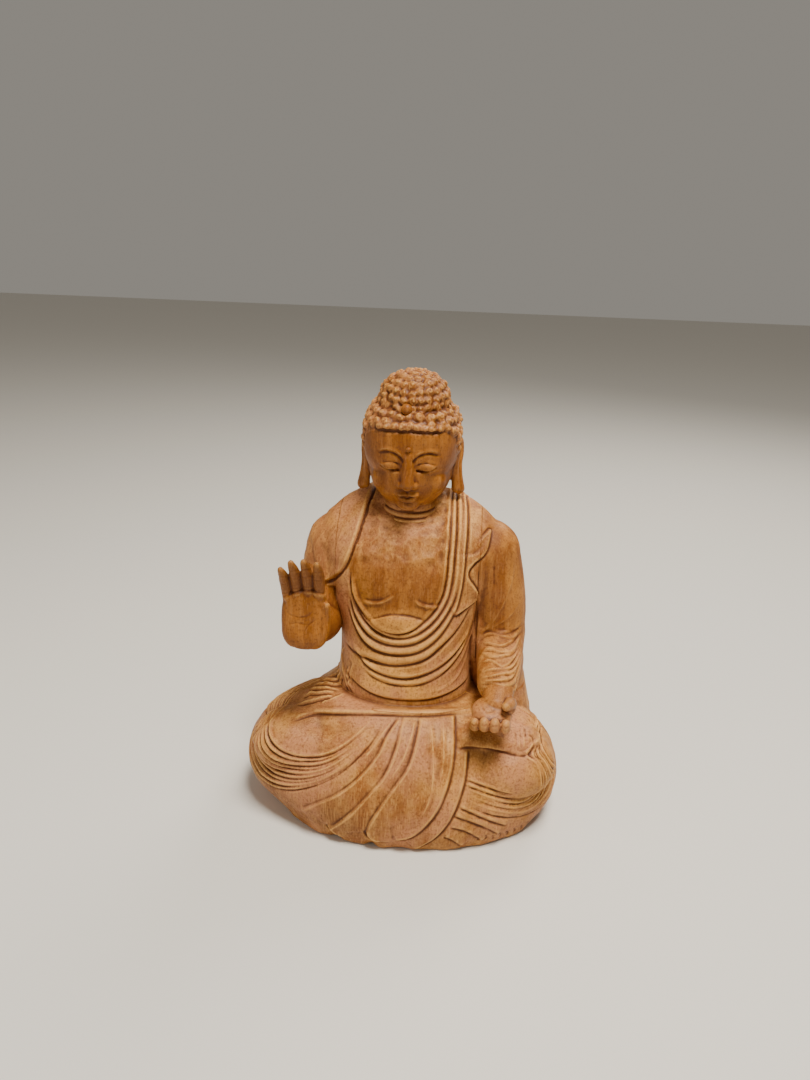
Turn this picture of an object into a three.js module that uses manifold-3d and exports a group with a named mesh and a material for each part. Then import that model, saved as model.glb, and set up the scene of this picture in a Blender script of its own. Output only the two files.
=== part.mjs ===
// A seated Buddha figure carved in wood, built the way a Japanese workshop joins one:
// a trunk block that stands on the table, a cross-grained lap block glued to its front,
// an arm block on each side, a head whose neck plugs into the trunk, and two hands let
// into the sleeves. Round pegs hold the blocks, and two small beads are set in the head.
//
// Millimetres, +Z up. The figure faces -Y and its left side is +X. The origin is on the
// table, under the middle of the figure.

import * as THREE from "three";
import { mergeVertices } from "three/addons/utils/BufferGeometryUtils.js";
import Module from "manifold-3d";

const wasm = await Module();
wasm.setup();

// ---- Driving dimensions -------------------------------------------------------------

const HEIGHT = 160; // table to the top of the crown
const GAP = 0.3; // between any two pieces that meet
const LAP_JOINT_Y = -8; // upright glue face behind the lap block
const LAP_JOINT_Z = 45; // level glue face where the belly sits on the lap block
const ARM_JOINT_X = 25.5; // upright glue faces between the trunk and the arm blocks
const HEAD_TILT = THREE.MathUtils.degToRad(9); // the head is bowed this far
const HEAD_CENTRE = [-0.7, 4.5, 131.5]; // between the ears
const NECK_RADIUS = 10;
const NECK_Y = 7;
const NECK_SEAT_Z = 105.5; // floor of the neck's socket
const TENON_RADIUS = 6.5; // the plug under the neck
const TENON_END_Z = 92;
const PEG_RADIUS = 2;
const FAR = 200; // beyond the figure on every side
const CROWN_BEAD_RADIUS = 1.9;
const BROW_BEAD_RADIUS = 0.9;

// ---- Geometry helpers ---------------------------------------------------------------

// A closed three.js geometry as a solid that can be joined and cut.
function solid(geometry) {
  const bare = geometry.index ? geometry.toNonIndexed() : geometry.clone();
  for (const name of Object.keys(bare.attributes))
    if (name !== "position") bare.deleteAttribute(name);
  const merged = mergeVertices(bare, 1e-4);
  return new wasm.Manifold(
    new wasm.Mesh({
      numProp: 3,
      vertProperties: new Float32Array(merged.attributes.position.array),
      triVerts: new Uint32Array(merged.index.array),
    }),
  );
}

function geometryOf(shape) {
  const mesh = shape.getMesh();
  const geometry = new THREE.BufferGeometry();
  const points = new Float32Array(mesh.vertProperties);
  geometry.setAttribute("position", new THREE.BufferAttribute(points, 3));
  geometry.setIndex(new THREE.BufferAttribute(new Uint32Array(mesh.triVerts), 1));
  geometry.computeVertexNormals();
  return geometry;
}

const join = (shapes) => shapes.reduce((whole, shape) => whole.add(shape));

// An ellipsoid with its poles along Z, turned by tilt radians about X.
function ellipsoid([x, y, z], [rx, ry, rz], tilt = 0, sides = 20) {
  const geometry = new THREE.SphereGeometry(1, sides, Math.round(sides * 0.6));
  geometry.rotateX(Math.PI / 2).scale(rx, ry, rz).rotateX(tilt).translate(x, y, z);
  return solid(geometry);
}

// The tapered bar with round ends that wraps two balls.
function limb(from, fromRadius, to, toRadius, sides = 12) {
  const start = new THREE.Vector3(...from);
  const end = new THREE.Vector3(...to);
  const length = start.distanceTo(end);
  const lean = Math.asin((fromRadius - toRadius) / length); // slope of the cone's side
  const ARC_STEPS = 4;
  const profile = [];
  for (let i = 0; i <= ARC_STEPS; i++) {
    const angle = -Math.PI / 2 + ((Math.PI / 2 + lean) * i) / ARC_STEPS;
    const radius = i === 0 ? 0 : fromRadius * Math.cos(angle);
    profile.push(new THREE.Vector2(radius, fromRadius * Math.sin(angle)));
  }
  for (let i = 0; i <= ARC_STEPS; i++) {
    const angle = lean + ((Math.PI / 2 - lean) * i) / ARC_STEPS;
    const radius = i === ARC_STEPS ? 0 : toRadius * Math.cos(angle);
    profile.push(new THREE.Vector2(radius, length + toRadius * Math.sin(angle)));
  }
  const geometry = new THREE.LatheGeometry(profile, sides);
  const turn = new THREE.Quaternion().setFromUnitVectors(
    new THREE.Vector3(0, 1, 0),
    end.clone().sub(start).normalize(),
  );
  geometry.applyQuaternion(turn).translate(...from);
  return solid(geometry);
}

function rod(from, to, radius, sides = 16) {
  const start = new THREE.Vector3(...from);
  const end = new THREE.Vector3(...to);
  const geometry = new THREE.CylinderGeometry(radius, radius, start.distanceTo(end), sides);
  const turn = new THREE.Quaternion().setFromUnitVectors(
    new THREE.Vector3(0, 1, 0),
    end.clone().sub(start).normalize(),
  );
  const middle = start.add(end).multiplyScalar(0.5);
  geometry.applyQuaternion(turn).translate(...middle);
  return solid(geometry);
}

function block([x0, y0, z0], [x1, y1, z1]) {
  const geometry = new THREE.BoxGeometry(x1 - x0, y1 - y0, z1 - z0);
  geometry.translate((x0 + x1) / 2, (y0 + y1) / 2, (z0 + z1) / 2);
  return solid(geometry);
}

// A stack of oval sections, lowest first. Each is { z, x, y, rx, ry }: its height, its
// centre and its half widths. squareness above 1 fills the oval's corners out.
function stack(sections, squareness = 1.12, sides = 36) {
  const last = sections.length - 1;
  const geometry = new THREE.CylinderGeometry(1, 1, 1, sides, last);
  const points = geometry.attributes.position;
  for (let i = 0; i < points.count; i++) {
    const { z, x = 0, y, rx, ry } = sections[Math.round((points.getY(i) + 0.5) * last)];
    const [c, s] = [points.getX(i), points.getZ(i)];
    const full = (v) => Math.sign(v) * Math.abs(v) ** (1 / squareness);
    points.setXYZ(i, x + rx * full(c), y - ry * full(s), z);
  }
  return solid(geometry);
}

// ---- The carved body, before it is parted into blocks -------------------------------

const torso = stack([
  { z: 30, y: 9, rx: 32, ry: 27 },
  { z: 38, y: 7, rx: 28, ry: 26 },
  { z: 45, y: 4, rx: 26, ry: 25 },
  { z: 52, y: 3, rx: 25, ry: 23.5 },
  { z: 60, y: 3, rx: 24.5, ry: 23 },
  { z: 69, y: 3.5, rx: 25, ry: 22.5 },
  { z: 78, y: 4.5, rx: 28, ry: 21.5 },
  { z: 88, y: 5.5, rx: 31.5, ry: 20.5 },
  { z: 97, y: 6.5, rx: 34, ry: 18.5 },
  { z: 104, y: 7.5, rx: 33, ry: 15.5 },
  { z: 109, y: 9, rx: 28.5, ry: 12 },
  { z: 113, y: 11, rx: 22.5, ry: 9 },
  { z: 116.5, y: 12.5, rx: 15, ry: 5.5 },
]);

// The back and the hips, down to the table.
const hips = stack([
  { z: 0, y: 8, rx: 50, ry: 27 },
  { z: 7, y: 8, rx: 53, ry: 29 },
  { z: 16, y: 7, rx: 53, ry: 29 },
  { z: 25, y: 7, rx: 48, ry: 27.5 },
  { z: 33, y: 8, rx: 37, ry: 25.5 },
  { z: 40, y: 9, rx: 28, ry: 23 },
]);

// The crossed legs under the robe.
const legs = stack([
  { z: 0, x: 1.2, y: -9, rx: 53, ry: 33.6 },
  { z: 5, x: 1.2, y: -9, rx: 56.2, ry: 34.8 },
  { z: 11, x: 1, y: -9, rx: 58.2, ry: 35 },
  { z: 17, x: 0.8, y: -9, rx: 58.8, ry: 34.6 },
  { z: 24, x: 0.8, y: -9, rx: 57, ry: 33 },
  { z: 31, x: 1, y: -9, rx: 53, ry: 29.8 },
  { z: 37, x: 1.3, y: -9, rx: 46.5, ry: 25.6 },
  { z: 41, x: 1.5, y: -9, rx: 38.5, ry: 21.4 },
  { z: 44.6, x: 1.3, y: -9, rx: 29, ry: 17 },
]);

// Each foot lies sole up on the other thigh, with its toes pointing outwards.
const leftFootOnRightThigh = limb([-16, -16, 38], 5.2, [-32, -14, 37.6], 4.8);
const rightFootOnLeftThigh = limb([22, -27, 38.5], 6, [43, -24, 36.5], 5.2);

const rightUpperArm = limb([-26.5, 8, 94.5], 12.4, [-30.2, 3, 75], 9.6);
const leftUpperArm = limb([28.5, 8, 94.5], 12.6, [34.6, 5, 64], 10.2);
const leftSleeve = join([
  limb([35, 4, 64], 9.8, [34, -19, 55], 7.6),
  ellipsoid([35, 5, 52], [10.6, 15, 15]),
  limb([37, 6, 46], 8, [42, 2, 36], 7.2),
]);

const trunkAndLegs = join([torso, hips, legs, leftFootOnRightThigh, rightFootOnLeftThigh]);
const rightArm = join([torso, rightUpperArm]);
const leftArm = join([torso, leftUpperArm, leftSleeve]);

// ---- Hands --------------------------------------------------------------------------

// The raised right hand: a bare arm that leaves the sleeve, bends at the elbow and ends
// in an open palm that faces forwards.
const RIGHT_FINGERS = [
  // [base x, base z, tip x, tip z, base radius], little finger first
  [-37.3, 87, -39, 99.6, 1.9],
  [-34, 89, -35.6, 102, 2.1],
  [-30.3, 89.5, -31.2, 102.8, 2.2],
  [-26.6, 88.5, -26.8, 102.2, 2.1],
];
const FINGER_BASE_Y = -31;
const FINGER_TIP_Y = -35.5;
const SLEEVE_END_Z = 83; // the right sleeve's hem

// With extra above 0 the same shape is that much fatter, to cut room for itself.
function rightForearmAndHand(extra = 0) {
  const belowSleeve = block([-FAR, -FAR, 0], [FAR, FAR, SLEEVE_END_Z - GAP + extra]);
  const parts = [
    limb([-32, 2, 85], 8.2 + extra, [-32, -3.5, 69], 7.4 + extra).intersect(belowSleeve),
    limb([-32, -3.5, 69], 7.4 + extra, [-31.5, -25.5, 75.5], 6.2 + extra),
    rod([-31, 2, SLEEVE_END_Z - 4], [-31, 2, 90 + extra], 3.2 + extra), // its plug
  ];
  if (extra > 0) return join(parts);
  parts.push(ellipsoid([-31.8, -31, 79], [8.1, 4.6, 10.4], 0.1));
  parts.push(limb([-26, -28.5, 76], 3, [-23.8, -31, 87], 1.7)); // thumb, beside the palm
  for (const [baseX, baseZ, tipX, tipZ, radius] of RIGHT_FINGERS)
    parts.push(limb([baseX, FINGER_BASE_Y, baseZ], radius, [tipX, FINGER_TIP_Y, tipZ], 1, 8));
  return join(parts);
}

// The left hand lies palm up on the foot, with its fingers forward and a little curled.
function leftHand(extra = 0) {
  const parts = [
    limb([34.5, -24, 53], 5.6 + extra, [33.5, -30, 50], 5 + extra),
    ellipsoid([32.8, -31.5, 49.3], [8 + extra, 7 + extra, 3.6 + extra], 0.25),
    rod([34.6, -23, 53.3], [35.5, -11 + extra, 57], 3.2 + extra), // its plug
    limb([39, -29, 52], 2.8 + extra, [38, -35.5, 51.5], 2 + extra), // thumb
  ];
  const FINGER_SPACING = 3.9;
  for (let i = 0; i < 4; i++) {
    const x = 27 + i * FINGER_SPACING;
    const reach = [-37.5, -38.8, -38.8, -37.4][i]; // how far forward each tip is
    const [root, tip] = [[x + 0.5, -33, 48], [x, reach, 46.8]];
    parts.push(limb(root, 2.2 + extra, tip, 1.9 + extra, 8));
  }
  return join(parts);
}

// ---- Head ---------------------------------------------------------------------------

// Built about the point between the ears, then bowed forward and set on the neck. With
// extra above 0 it is the lower part of the head, that much fatter, to cut room for it.
function bareHead(extra = 0) {
  const parts = [
    ellipsoid([0, -1, -4.5], [14.9 + extra, 15.6 + extra, 15.8 + extra], 0, 22), // face
    ellipsoid([0, -9.5, -12], [6 + extra, 5.4 + extra, 4.2 + extra]), // chin
  ];
  for (const side of [-1, 1]) {
    const [lobeTop, lobeEnd] = [[side * 16.2, 1.6, -4], [side * 15.4, 0.2, -13]];
    parts.push(limb(lobeTop, 1.7 + extra, lobeEnd, 1.6 + extra, 10));
    parts.push(ellipsoid([side * 16, 2.4, -1], [1.7, 3.4, 6.4], 0, 14)); // ear
  }
  if (extra === 0)
    parts.push(
      ellipsoid([0, 1.5, 3.5], [18, 18.2, 14.6], 0, 22), // skull with its cap of hair
      ellipsoid([0.4, 2.5, 17.68], [13, 13, 10.6], 0, 20), // knot of hair on the crown
      limb([0, -15, 1.5], 1.5, [0, -17.2, -5.4], 2), // nose
    );
  const placed = join(parts).rotate([THREE.MathUtils.radToDeg(HEAD_TILT), 0, 0]);
  return placed.translate(HEAD_CENTRE);
}

// A point given in the head's own frame, as it is after the head is bowed and placed.
function onHead(x, y, z) {
  return new THREE.Vector3(x, y, z)
    .applyAxisAngle(new THREE.Vector3(1, 0, 0), HEAD_TILT)
    .add(new THREE.Vector3(...HEAD_CENTRE))
    .toArray();
}

const neckAt = (z) => [0.4, NECK_Y, z];
const neckPlug = join([
  rod(neckAt(NECK_SEAT_Z + GAP), neckAt(124), NECK_RADIUS, 24),
  rod(neckAt(TENON_END_Z + GAP), neckAt(NECK_SEAT_Z + 3), TENON_RADIUS, 20),
]);
const neckSocket = join([
  bareHead(GAP),
  rod(neckAt(NECK_SEAT_Z), neckAt(125), NECK_RADIUS + GAP, 28),
  rod(neckAt(TENON_END_Z), neckAt(NECK_SEAT_Z + 3), TENON_RADIUS + GAP, 20),
]);

const crownBeadAt = onHead(-1.2, -10.8, 19.3);
const browBeadAt = onHead(0, -16.4, 6.2);
const crownBead = ellipsoid(crownBeadAt, Array(3).fill(CROWN_BEAD_RADIUS), 0, 14);
const browBead = ellipsoid(browBeadAt, Array(3).fill(BROW_BEAD_RADIUS), 0, 12);

// A slightly larger copy of a bead, to cut its seat.
const seat = (at, radius) => ellipsoid(at, Array(3).fill(radius + GAP), 0, 14);

const head = join([bareHead(), neckPlug])
  .subtract(seat(crownBeadAt, CROWN_BEAD_RADIUS))
  .subtract(seat(browBeadAt, BROW_BEAD_RADIUS));

// ---- Pegs between the blocks ---------------------------------------------------------

const PEGS = {
  lap_peg_right: [[-18, -24, 20], [-18, 8, 20]],
  lap_peg_left: [[18, -24, 20], [18, 8, 20]],
  right_arm_peg_upper: [[-34, 9.5, 99], [-18, 9.5, 99]],
  right_arm_peg_lower: [[-34, 9.5, 88], [-18, 9.5, 88]],
  left_arm_peg_upper: [[18, 8, 97], [35, 8, 97]],
  left_arm_peg_lower: [[15, 5, 57], [36, 5, 57]],
};
const SHORTER = GAP; // a peg stops this far short of each end of its hole

function pegEnds([from, to], trim) {
  const start = new THREE.Vector3(...from);
  const end = new THREE.Vector3(...to);
  const along = end.clone().sub(start).normalize().multiplyScalar(trim);
  return [start.add(along).toArray(), end.sub(along).toArray()];
}
const peg = (ends) => rod(...pegEnds(ends, SHORTER), PEG_RADIUS, 12);
const pegHole = (ends) => rod(...ends, PEG_RADIUS + GAP, 12);
const pegHoles = join(Object.values(PEGS).map(pegHole));

// ---- Parting the body into its blocks -------------------------------------------------

const HALF_GAP = GAP / 2;

const lapZone = block([-FAR, -FAR, -1], [FAR, LAP_JOINT_Y - HALF_GAP, LAP_JOINT_Z - HALF_GAP]);
const trunkZone = join([
  block([-FAR, LAP_JOINT_Y + HALF_GAP, -1], [FAR, FAR, LAP_JOINT_Z - HALF_GAP]),
  block(
    [-ARM_JOINT_X + HALF_GAP, -FAR, LAP_JOINT_Z + HALF_GAP],
    [ARM_JOINT_X - HALF_GAP, FAR, FAR],
  ),
  block(
    [-ARM_JOINT_X + HALF_GAP, LAP_JOINT_Y + HALF_GAP, LAP_JOINT_Z - 1],
    [ARM_JOINT_X - HALF_GAP, FAR, LAP_JOINT_Z + 1],
  ),
]);
const rightArmZone = block(
  [-FAR, -FAR, SLEEVE_END_Z],
  [-ARM_JOINT_X - HALF_GAP, FAR, FAR],
);
const leftArmZone = block(
  [ARM_JOINT_X + HALF_GAP, -FAR, LAP_JOINT_Z + HALF_GAP],
  [FAR, FAR, FAR],
);

const largestBody = (shape) =>
  shape.decompose().reduce((best, part) => (part.volume() > best.volume() ? part : best));

// Everything that is let into the blocks: the neck, the pegs and the two hands.
const letIn = join([neckSocket, pegHoles, rightForearmAndHand(GAP), leftHand(GAP)]);
const blockIn = (zone, shape) => largestBody(shape.intersect(zone).subtract(letIn));

const pieces = {
  trunk: blockIn(trunkZone, trunkAndLegs),
  lap_block: blockIn(lapZone, trunkAndLegs),
  right_arm_block: blockIn(rightArmZone, rightArm),
  left_arm_block: blockIn(leftArmZone, leftArm),
  right_forearm_and_hand: rightForearmAndHand(),
  left_hand: leftHand(),
  head,
  crown_bead: crownBead,
  brow_bead: browBead,
};
for (const [name, ends] of Object.entries(PEGS)) pieces[name] = peg(ends);

// ---- The scene graph -------------------------------------------------------------------

const finish = (color, roughness) =>
  new THREE.MeshStandardMaterial({ color, roughness, metalness: 0 });
const carvedWood = finish(0xa9704a, 0.6);
const polishedWood = finish(0xa8683a, 0.5);
const pegWood = finish(0xc39a68, 0.7);

const WOODS = {
  head: polishedWood,
  right_forearm_and_hand: polishedWood,
  left_hand: polishedWood,
  crown_bead: polishedWood,
  brow_bead: polishedWood,
};

const figure = new THREE.Group();
figure.name = "seated_figure";
for (const [name, shape] of Object.entries(pieces)) {
  const wood = WOODS[name] ?? (name.includes("peg") ? pegWood : carvedWood);
  const mesh = new THREE.Mesh(geometryOf(shape), wood);
  mesh.name = name;
  figure.add(mesh);
}

export default figure;
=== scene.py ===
"""Looks of a carved wooden seated Buddha: every block is shaped as clay in millimetres,
fused, smoothed, cut with knife lines and folds, then parted at the same joints as the CAD."""

import math

import bmesh
import bpy
import numpy as np
from mathutils import Euler, Matrix, Vector
from mathutils.bvhtree import BVHTree
from mathutils.kdtree import KDTree


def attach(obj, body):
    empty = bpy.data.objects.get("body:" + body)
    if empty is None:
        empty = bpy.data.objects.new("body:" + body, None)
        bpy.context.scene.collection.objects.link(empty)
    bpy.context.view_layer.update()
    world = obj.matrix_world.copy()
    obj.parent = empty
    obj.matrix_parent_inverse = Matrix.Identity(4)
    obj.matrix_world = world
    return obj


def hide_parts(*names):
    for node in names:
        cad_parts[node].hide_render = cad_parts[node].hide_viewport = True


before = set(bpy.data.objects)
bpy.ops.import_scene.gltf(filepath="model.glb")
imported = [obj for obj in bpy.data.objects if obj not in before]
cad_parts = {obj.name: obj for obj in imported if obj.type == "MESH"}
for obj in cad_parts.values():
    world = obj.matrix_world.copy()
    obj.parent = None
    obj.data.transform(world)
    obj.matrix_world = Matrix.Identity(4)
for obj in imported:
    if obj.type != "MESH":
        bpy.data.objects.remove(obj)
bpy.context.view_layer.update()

MM = 0.001
BODY_VOXEL = 0.43
HEAD_VOXEL = 0.3
HAND_VOXEL = 0.25
SEAM = 0.05  # visible width of a glued joint
HALF_SEAM = SEAM / 2
MOST_TRIANGLES = 190000  # in one piece
CORNER_ANGLE = 62  # degrees; anything sharper is shaded as a real corner
LAP_JOINT_Y = -8.0
LAP_JOINT_Z = 45.0
ARM_JOINT_X = 25.5
SLEEVE_END_Z = 83.0
HEAD_TILT = math.radians(9)
HEAD_CENTRE = Vector((-0.7, 4.5, 131.5))
FAR = 200.0  # beyond the figure on every side
BELOW = -5  # under the table
dice = np.random.default_rng(7)


# ---- Curves and sections --------------------------------------------------------------


def spline(points, count):
    """Evenly stepped points on a smooth curve that passes through the given ones."""
    given = np.asarray(points, float)
    padded = np.vstack([2 * given[0] - given[1], given, 2 * given[-1] - given[-2]])
    spans = len(given) - 1
    out = []
    for u in np.linspace(0, spans, count):
        i = min(int(u), spans - 1)
        t = u - i
        a, b, c, d = padded[i : i + 4]
        bend = 2 * b + (c - a) * t + (2 * a - 5 * b + 4 * c - d) * t * t
        out.append(0.5 * (bend + (3 * b - a - 3 * c + d) * t**3))
    return np.array(out)


def between(first, last, share, count=28):
    """The curve that lies the given share of the way from one guide to another."""
    return spline(first, count) * (1 - share) + spline(last, count) * share


def smoothstep(low, high, value):
    """Rises smoothly from 0 at low to 1 at high."""
    t = np.clip((value - low) / (high - low), 0, 1)
    return t * t * (3 - 2 * t)


# ---- Clay -----------------------------------------------------------------------------


def added(name, data):
    """A new object in the scene."""
    holder = bpy.data.objects.new(name, data)
    bpy.context.scene.collection.objects.link(holder)
    return holder


def applied(holder):
    """The object's mesh with its modifiers applied."""
    graph = bpy.context.evaluated_depsgraph_get()
    return bpy.data.meshes.new_from_object(holder.evaluated_get(graph))


def keep_values(mesh, name, values):
    """Keeps one number for each point on the mesh, for the finish to read."""
    held = mesh.attributes.new(name, "FLOAT", "POINT")
    held.data.foreach_set("value", values.astype(np.float32))


class Clay:
    """Closed shapes heaped together, then fused into one skin by a voxel remesh."""

    patterns = {}

    def __init__(self):
        self.points = []
        self.faces = []
        self.filled = 0
        self.to_world = Matrix.Identity(4)

    def heap(self, points, faces):
        """Adds one closed shape: its points, and faces that count within them."""
        matrix = np.array(self.to_world)
        self.points.append(np.asarray(points) @ matrix[:3, :3].T + matrix[:3, 3])
        self.faces += [[corner + self.filled for corner in face] for face in faces]
        self.filled += len(points)

    def ball(self, centre, radii, turn=(0, 0, 0), detail=20, square=2):
        if detail not in Clay.patterns:
            bm = bmesh.new()
            rings = max(6, detail * 2 // 3)
            bmesh.ops.create_uvsphere(bm, u_segments=detail, v_segments=rings, radius=1)
            corners = np.array([v.co for v in bm.verts])
            Clay.patterns[detail] = corners, [[v.index for v in f.verts] for f in bm.faces]
            bm.free()
        corners, faces = Clay.patterns[detail]
        if not hasattr(radii, "__len__"):
            radii = (radii, radii, radii)
        corners = corners / ((abs(corners) ** square).sum(1) ** (1 / square))[:, None]
        turned = (corners * np.array(radii)) @ np.array(Euler(turn).to_matrix()).T
        self.heap(turned + np.array(centre), faces)

    def limb(self, points, radii, flat=(1, 1, 1), detail=16):
        """A smooth run of balls along a curve, each with its own radius."""
        course = np.linspace(0, len(radii) - 1, len(points))
        sizes = np.interp(course, range(len(radii)), radii)[:, None]
        path = np.hstack([np.asarray(points, float), sizes])
        length = np.linalg.norm(np.diff(path[:, :3], axis=0), axis=1).sum()
        count = int(max(4, length / max(0.3, 0.22 * sizes.min())))
        for x, y, z, radius in spline(path, count):
            self.ball((x, y, z), [radius * f for f in flat], detail=detail)

    def stack(self, sections, squareness=1.12, sides=96, steps=5):
        """Oval sections (z, x, y, half width, half depth), lowest first."""
        rows = spline(sections, (len(sections) - 1) * steps + 1)
        bm = bmesh.new()
        bmesh.ops.create_cone(
            bm, cap_ends=True, segments=sides, radius1=1, radius2=1, depth=len(rows) - 1
        )
        uprights = [e for e in bm.edges if abs(e.verts[0].co.z - e.verts[1].co.z) > 0.5]
        bmesh.ops.subdivide_edges(bm, edges=uprights, cuts=len(rows) - 2)
        corners = np.array([v.co for v in bm.verts])
        faces = [[v.index for v in f.verts] for f in bm.faces]
        bm.free()
        z, x, y, rx, ry = rows[np.rint(corners[:, 2] + (len(rows) - 1) / 2).astype(int)].T
        c, s = (np.copysign(abs(v) ** (1 / squareness), v) for v in corners[:, :2].T)
        self.heap(np.column_stack([x + rx * c, y + ry * s, z]), faces)

    def to_mesh(self, name):
        mesh = bpy.data.meshes.new(name)
        mesh.from_pydata(np.vstack(self.points), [], self.faces)
        mesh.update()
        return mesh

    def fuse(self, name, voxel, smoothing):
        """One closed skin, with its facets and joins smoothed away."""
        holder = added(name, self.to_mesh(name))
        remesh = holder.modifiers.new("fuse", "REMESH")
        remesh.mode = "VOXEL"
        remesh.voxel_size = voxel
        mesh = applied(holder)
        bpy.data.objects.remove(holder)
        skin = Skin(mesh, voxel)
        skin.smooth(smoothing)
        return skin


class Skin:
    """A fused mesh whose points are raised and lowered along their normals."""

    def __init__(self, mesh, spacing):
        self.mesh = mesh
        self.spacing = spacing
        count = len(mesh.vertices)
        self.co = np.zeros(count * 3, np.float32)
        mesh.vertices.foreach_get("co", self.co)
        self.co = self.co.reshape(-1, 3).astype(float)
        self.edges = np.zeros(len(mesh.edges) * 2, np.int32)
        mesh.edges.foreach_get("vertices", self.edges)
        self.edges = self.edges.reshape(-1, 2)
        self.degree = np.bincount(self.edges.ravel(), minlength=count)[:, None]
        self.height = np.zeros(count)
        self.cloth = np.ones(count)
        self.tone_light_and_shade = np.zeros(count)  # above 0 golden, partly painted light on front faces; below 0 painted shade, dull and dark

    def smooth(self, rounds, strength=0.5, mask=None):
        a, b = self.edges.T
        weight = strength if mask is None else strength * mask[:, None]
        for _ in range(rounds):
            total = np.zeros_like(self.co)
            for axis in range(3):
                total[:, axis] = np.bincount(a, self.co[b, axis], len(self.co))
                total[:, axis] += np.bincount(b, self.co[a, axis], len(self.co))
            self.co += weight * (total / self.degree - self.co)

    def write(self):
        """Puts the points back on the mesh."""
        self.mesh.vertices.foreach_set("co", self.co.astype(np.float32).ravel())
        self.mesh.update()

    def normals(self):
        read = np.zeros(len(self.co) * 3, np.float32)
        self.mesh.vertices.foreach_get("normal", read)
        return read.reshape(-1, 3).astype(float)

    def settle(self):
        """Fixes the present shape as the base that the knife work starts from."""
        self.write()
        self.no = self.normals()
        faces = bmesh.new()
        faces.from_mesh(self.mesh)
        self.bvh = BVHTree.FromBMesh(faces)
        faces.free()

    # Lines drawn on the surface

    def pulled_on(self, path, rounds=0):
        """A path, evened out a number of times and pulled onto the surface."""
        path = np.array(path)
        for _ in range(rounds):
            path[1:-1] = (path[:-2] + 2 * path[1:-1] + path[2:]) / 4
        return np.array([self.bvh.find_nearest(Vector(p))[0] for p in path])

    def drawn(self, points, side=-1, count=36):
        """A curve given as (x, z), dropped on the surface from the front (or side=1, the back)."""
        line = []
        for x, z in spline(points, count):
            hit = self.bvh.ray_cast(Vector((x, 150.0 * side, z)), Vector((0, -side, 0)))[0]
            if hit is None:
                hit = self.bvh.find_nearest(Vector((x, 20.0 * side, z)))[0]
            line.append(hit)
        return self.pulled_on(line, rounds=3)

    def carried_on(self, line, points, first=True):
        """A drawn line with more (x, y, z) points ahead of it, or after it."""
        start, stop = (points, [line[0]]) if first else ([line[-1]], points)
        extra = self.wrapped(list(start) + list(stop), 22)
        whole = np.vstack([extra[:-1], line] if first else [line, extra[1:]])
        return self.pulled_on(whole, rounds=4)

    def wrapped(self, points, count=36):
        """A curve given as (x, y, z) near the surface, pulled onto it."""
        return self.pulled_on(spline(points, count))

    def near(self, line, reach):
        """Points within reach of the line: index, signed distance and share of its length.
        The positive side is above a line drawn from left to right across the front."""
        low, high = line.min(0) - reach, line.max(0) + reach
        index = np.nonzero(((self.co > low) & (self.co < high)).all(1))[0]
        p = self.co[index]
        n = self.no[index]
        best = np.full(len(index), 1e9)
        side = np.zeros(len(index))
        share = np.zeros(len(index))
        for k in range(len(line) - 1):
            step = line[k + 1] - line[k]
            t = np.clip((p - line[k]) @ step / max(step @ step, 1e-9), 0, 1)
            away = p - line[k] - t[:, None] * step
            d2 = (away**2).sum(1)
            m = d2 < best
            best[m] = d2[m]
            side[m] = (np.cross(n[m], step) * away[m]).sum(1)
            share[m] = (k + t[m]) / (len(line) - 1)
        distance = np.sqrt(best)
        keep = distance < reach
        return index[keep], (np.sign(side) * distance)[keep], share[keep]

    def add(self, index, amount, share, ends):
        """Adds knife work that fades at both ends, with the uneven pressure of a hand."""
        beats = dice.uniform(2, 5)
        amount = amount * (1 + 0.22 * np.sin(6.28 * (beats * share + dice.uniform(0, 1))))
        if ends > 0:
            amount = amount * smoothstep(0, ends, share) * smoothstep(0, ends, 1 - share)
        self.height[index] += amount

    def groove(self, line, depth, width, ends=0.12):
        index, s, share = self.near(line, width * 3)
        self.add(index, -depth * np.exp(-((s / width) ** 2)), share, ends)

    def ridge(self, line, height, width, ends=0.12):
        self.groove(line, -height, width, ends)

    def fold(self, line, widths, depth, height, ends=0.1):
        """A rounded roll of cloth on the positive side of a narrow dark cut.
        Its width may change from the first end to the last."""
        widths = np.atleast_1d(widths)
        index, s, share = self.near(line, widths.max() * 2)
        width = np.interp(share, np.linspace(0, 1, len(widths)), widths)
        full = (width / widths.max()) ** 0.6
        cut = -depth * np.exp(-((s / np.maximum(0.17 * width, 0.28)) ** 2))
        roll = height * np.exp(-(((s - 0.52 * width) / (0.34 * width)) ** 2))
        self.add(index, full * (cut + roll), share, ends)

    def edge(self, line, height, sharpness, fall, ends=0.08, undercut=0.0):
        """A cloth edge: raised on its positive side, sinking back over the fall distance."""
        index, s, share = self.near(line, fall * 3 + 1)
        lift = height * (1 / (1 + np.exp(-np.clip(s / sharpness, -30, 30))))
        lift = lift * np.exp(-np.maximum(s, 0) / fall)
        cut = -undercut * np.exp(-(((s + 0.7 * sharpness + 0.25) / 0.4) ** 2))
        self.add(index, lift + cut, share, ends)

    def swell(self, centre, radii, height):
        """A soft bump (or hollow, when height is negative) round a point."""
        q = (self.co - np.asarray(centre, float)) / np.asarray(radii, float)
        self.height += height * np.exp(-((q**2).sum(1)))

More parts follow.
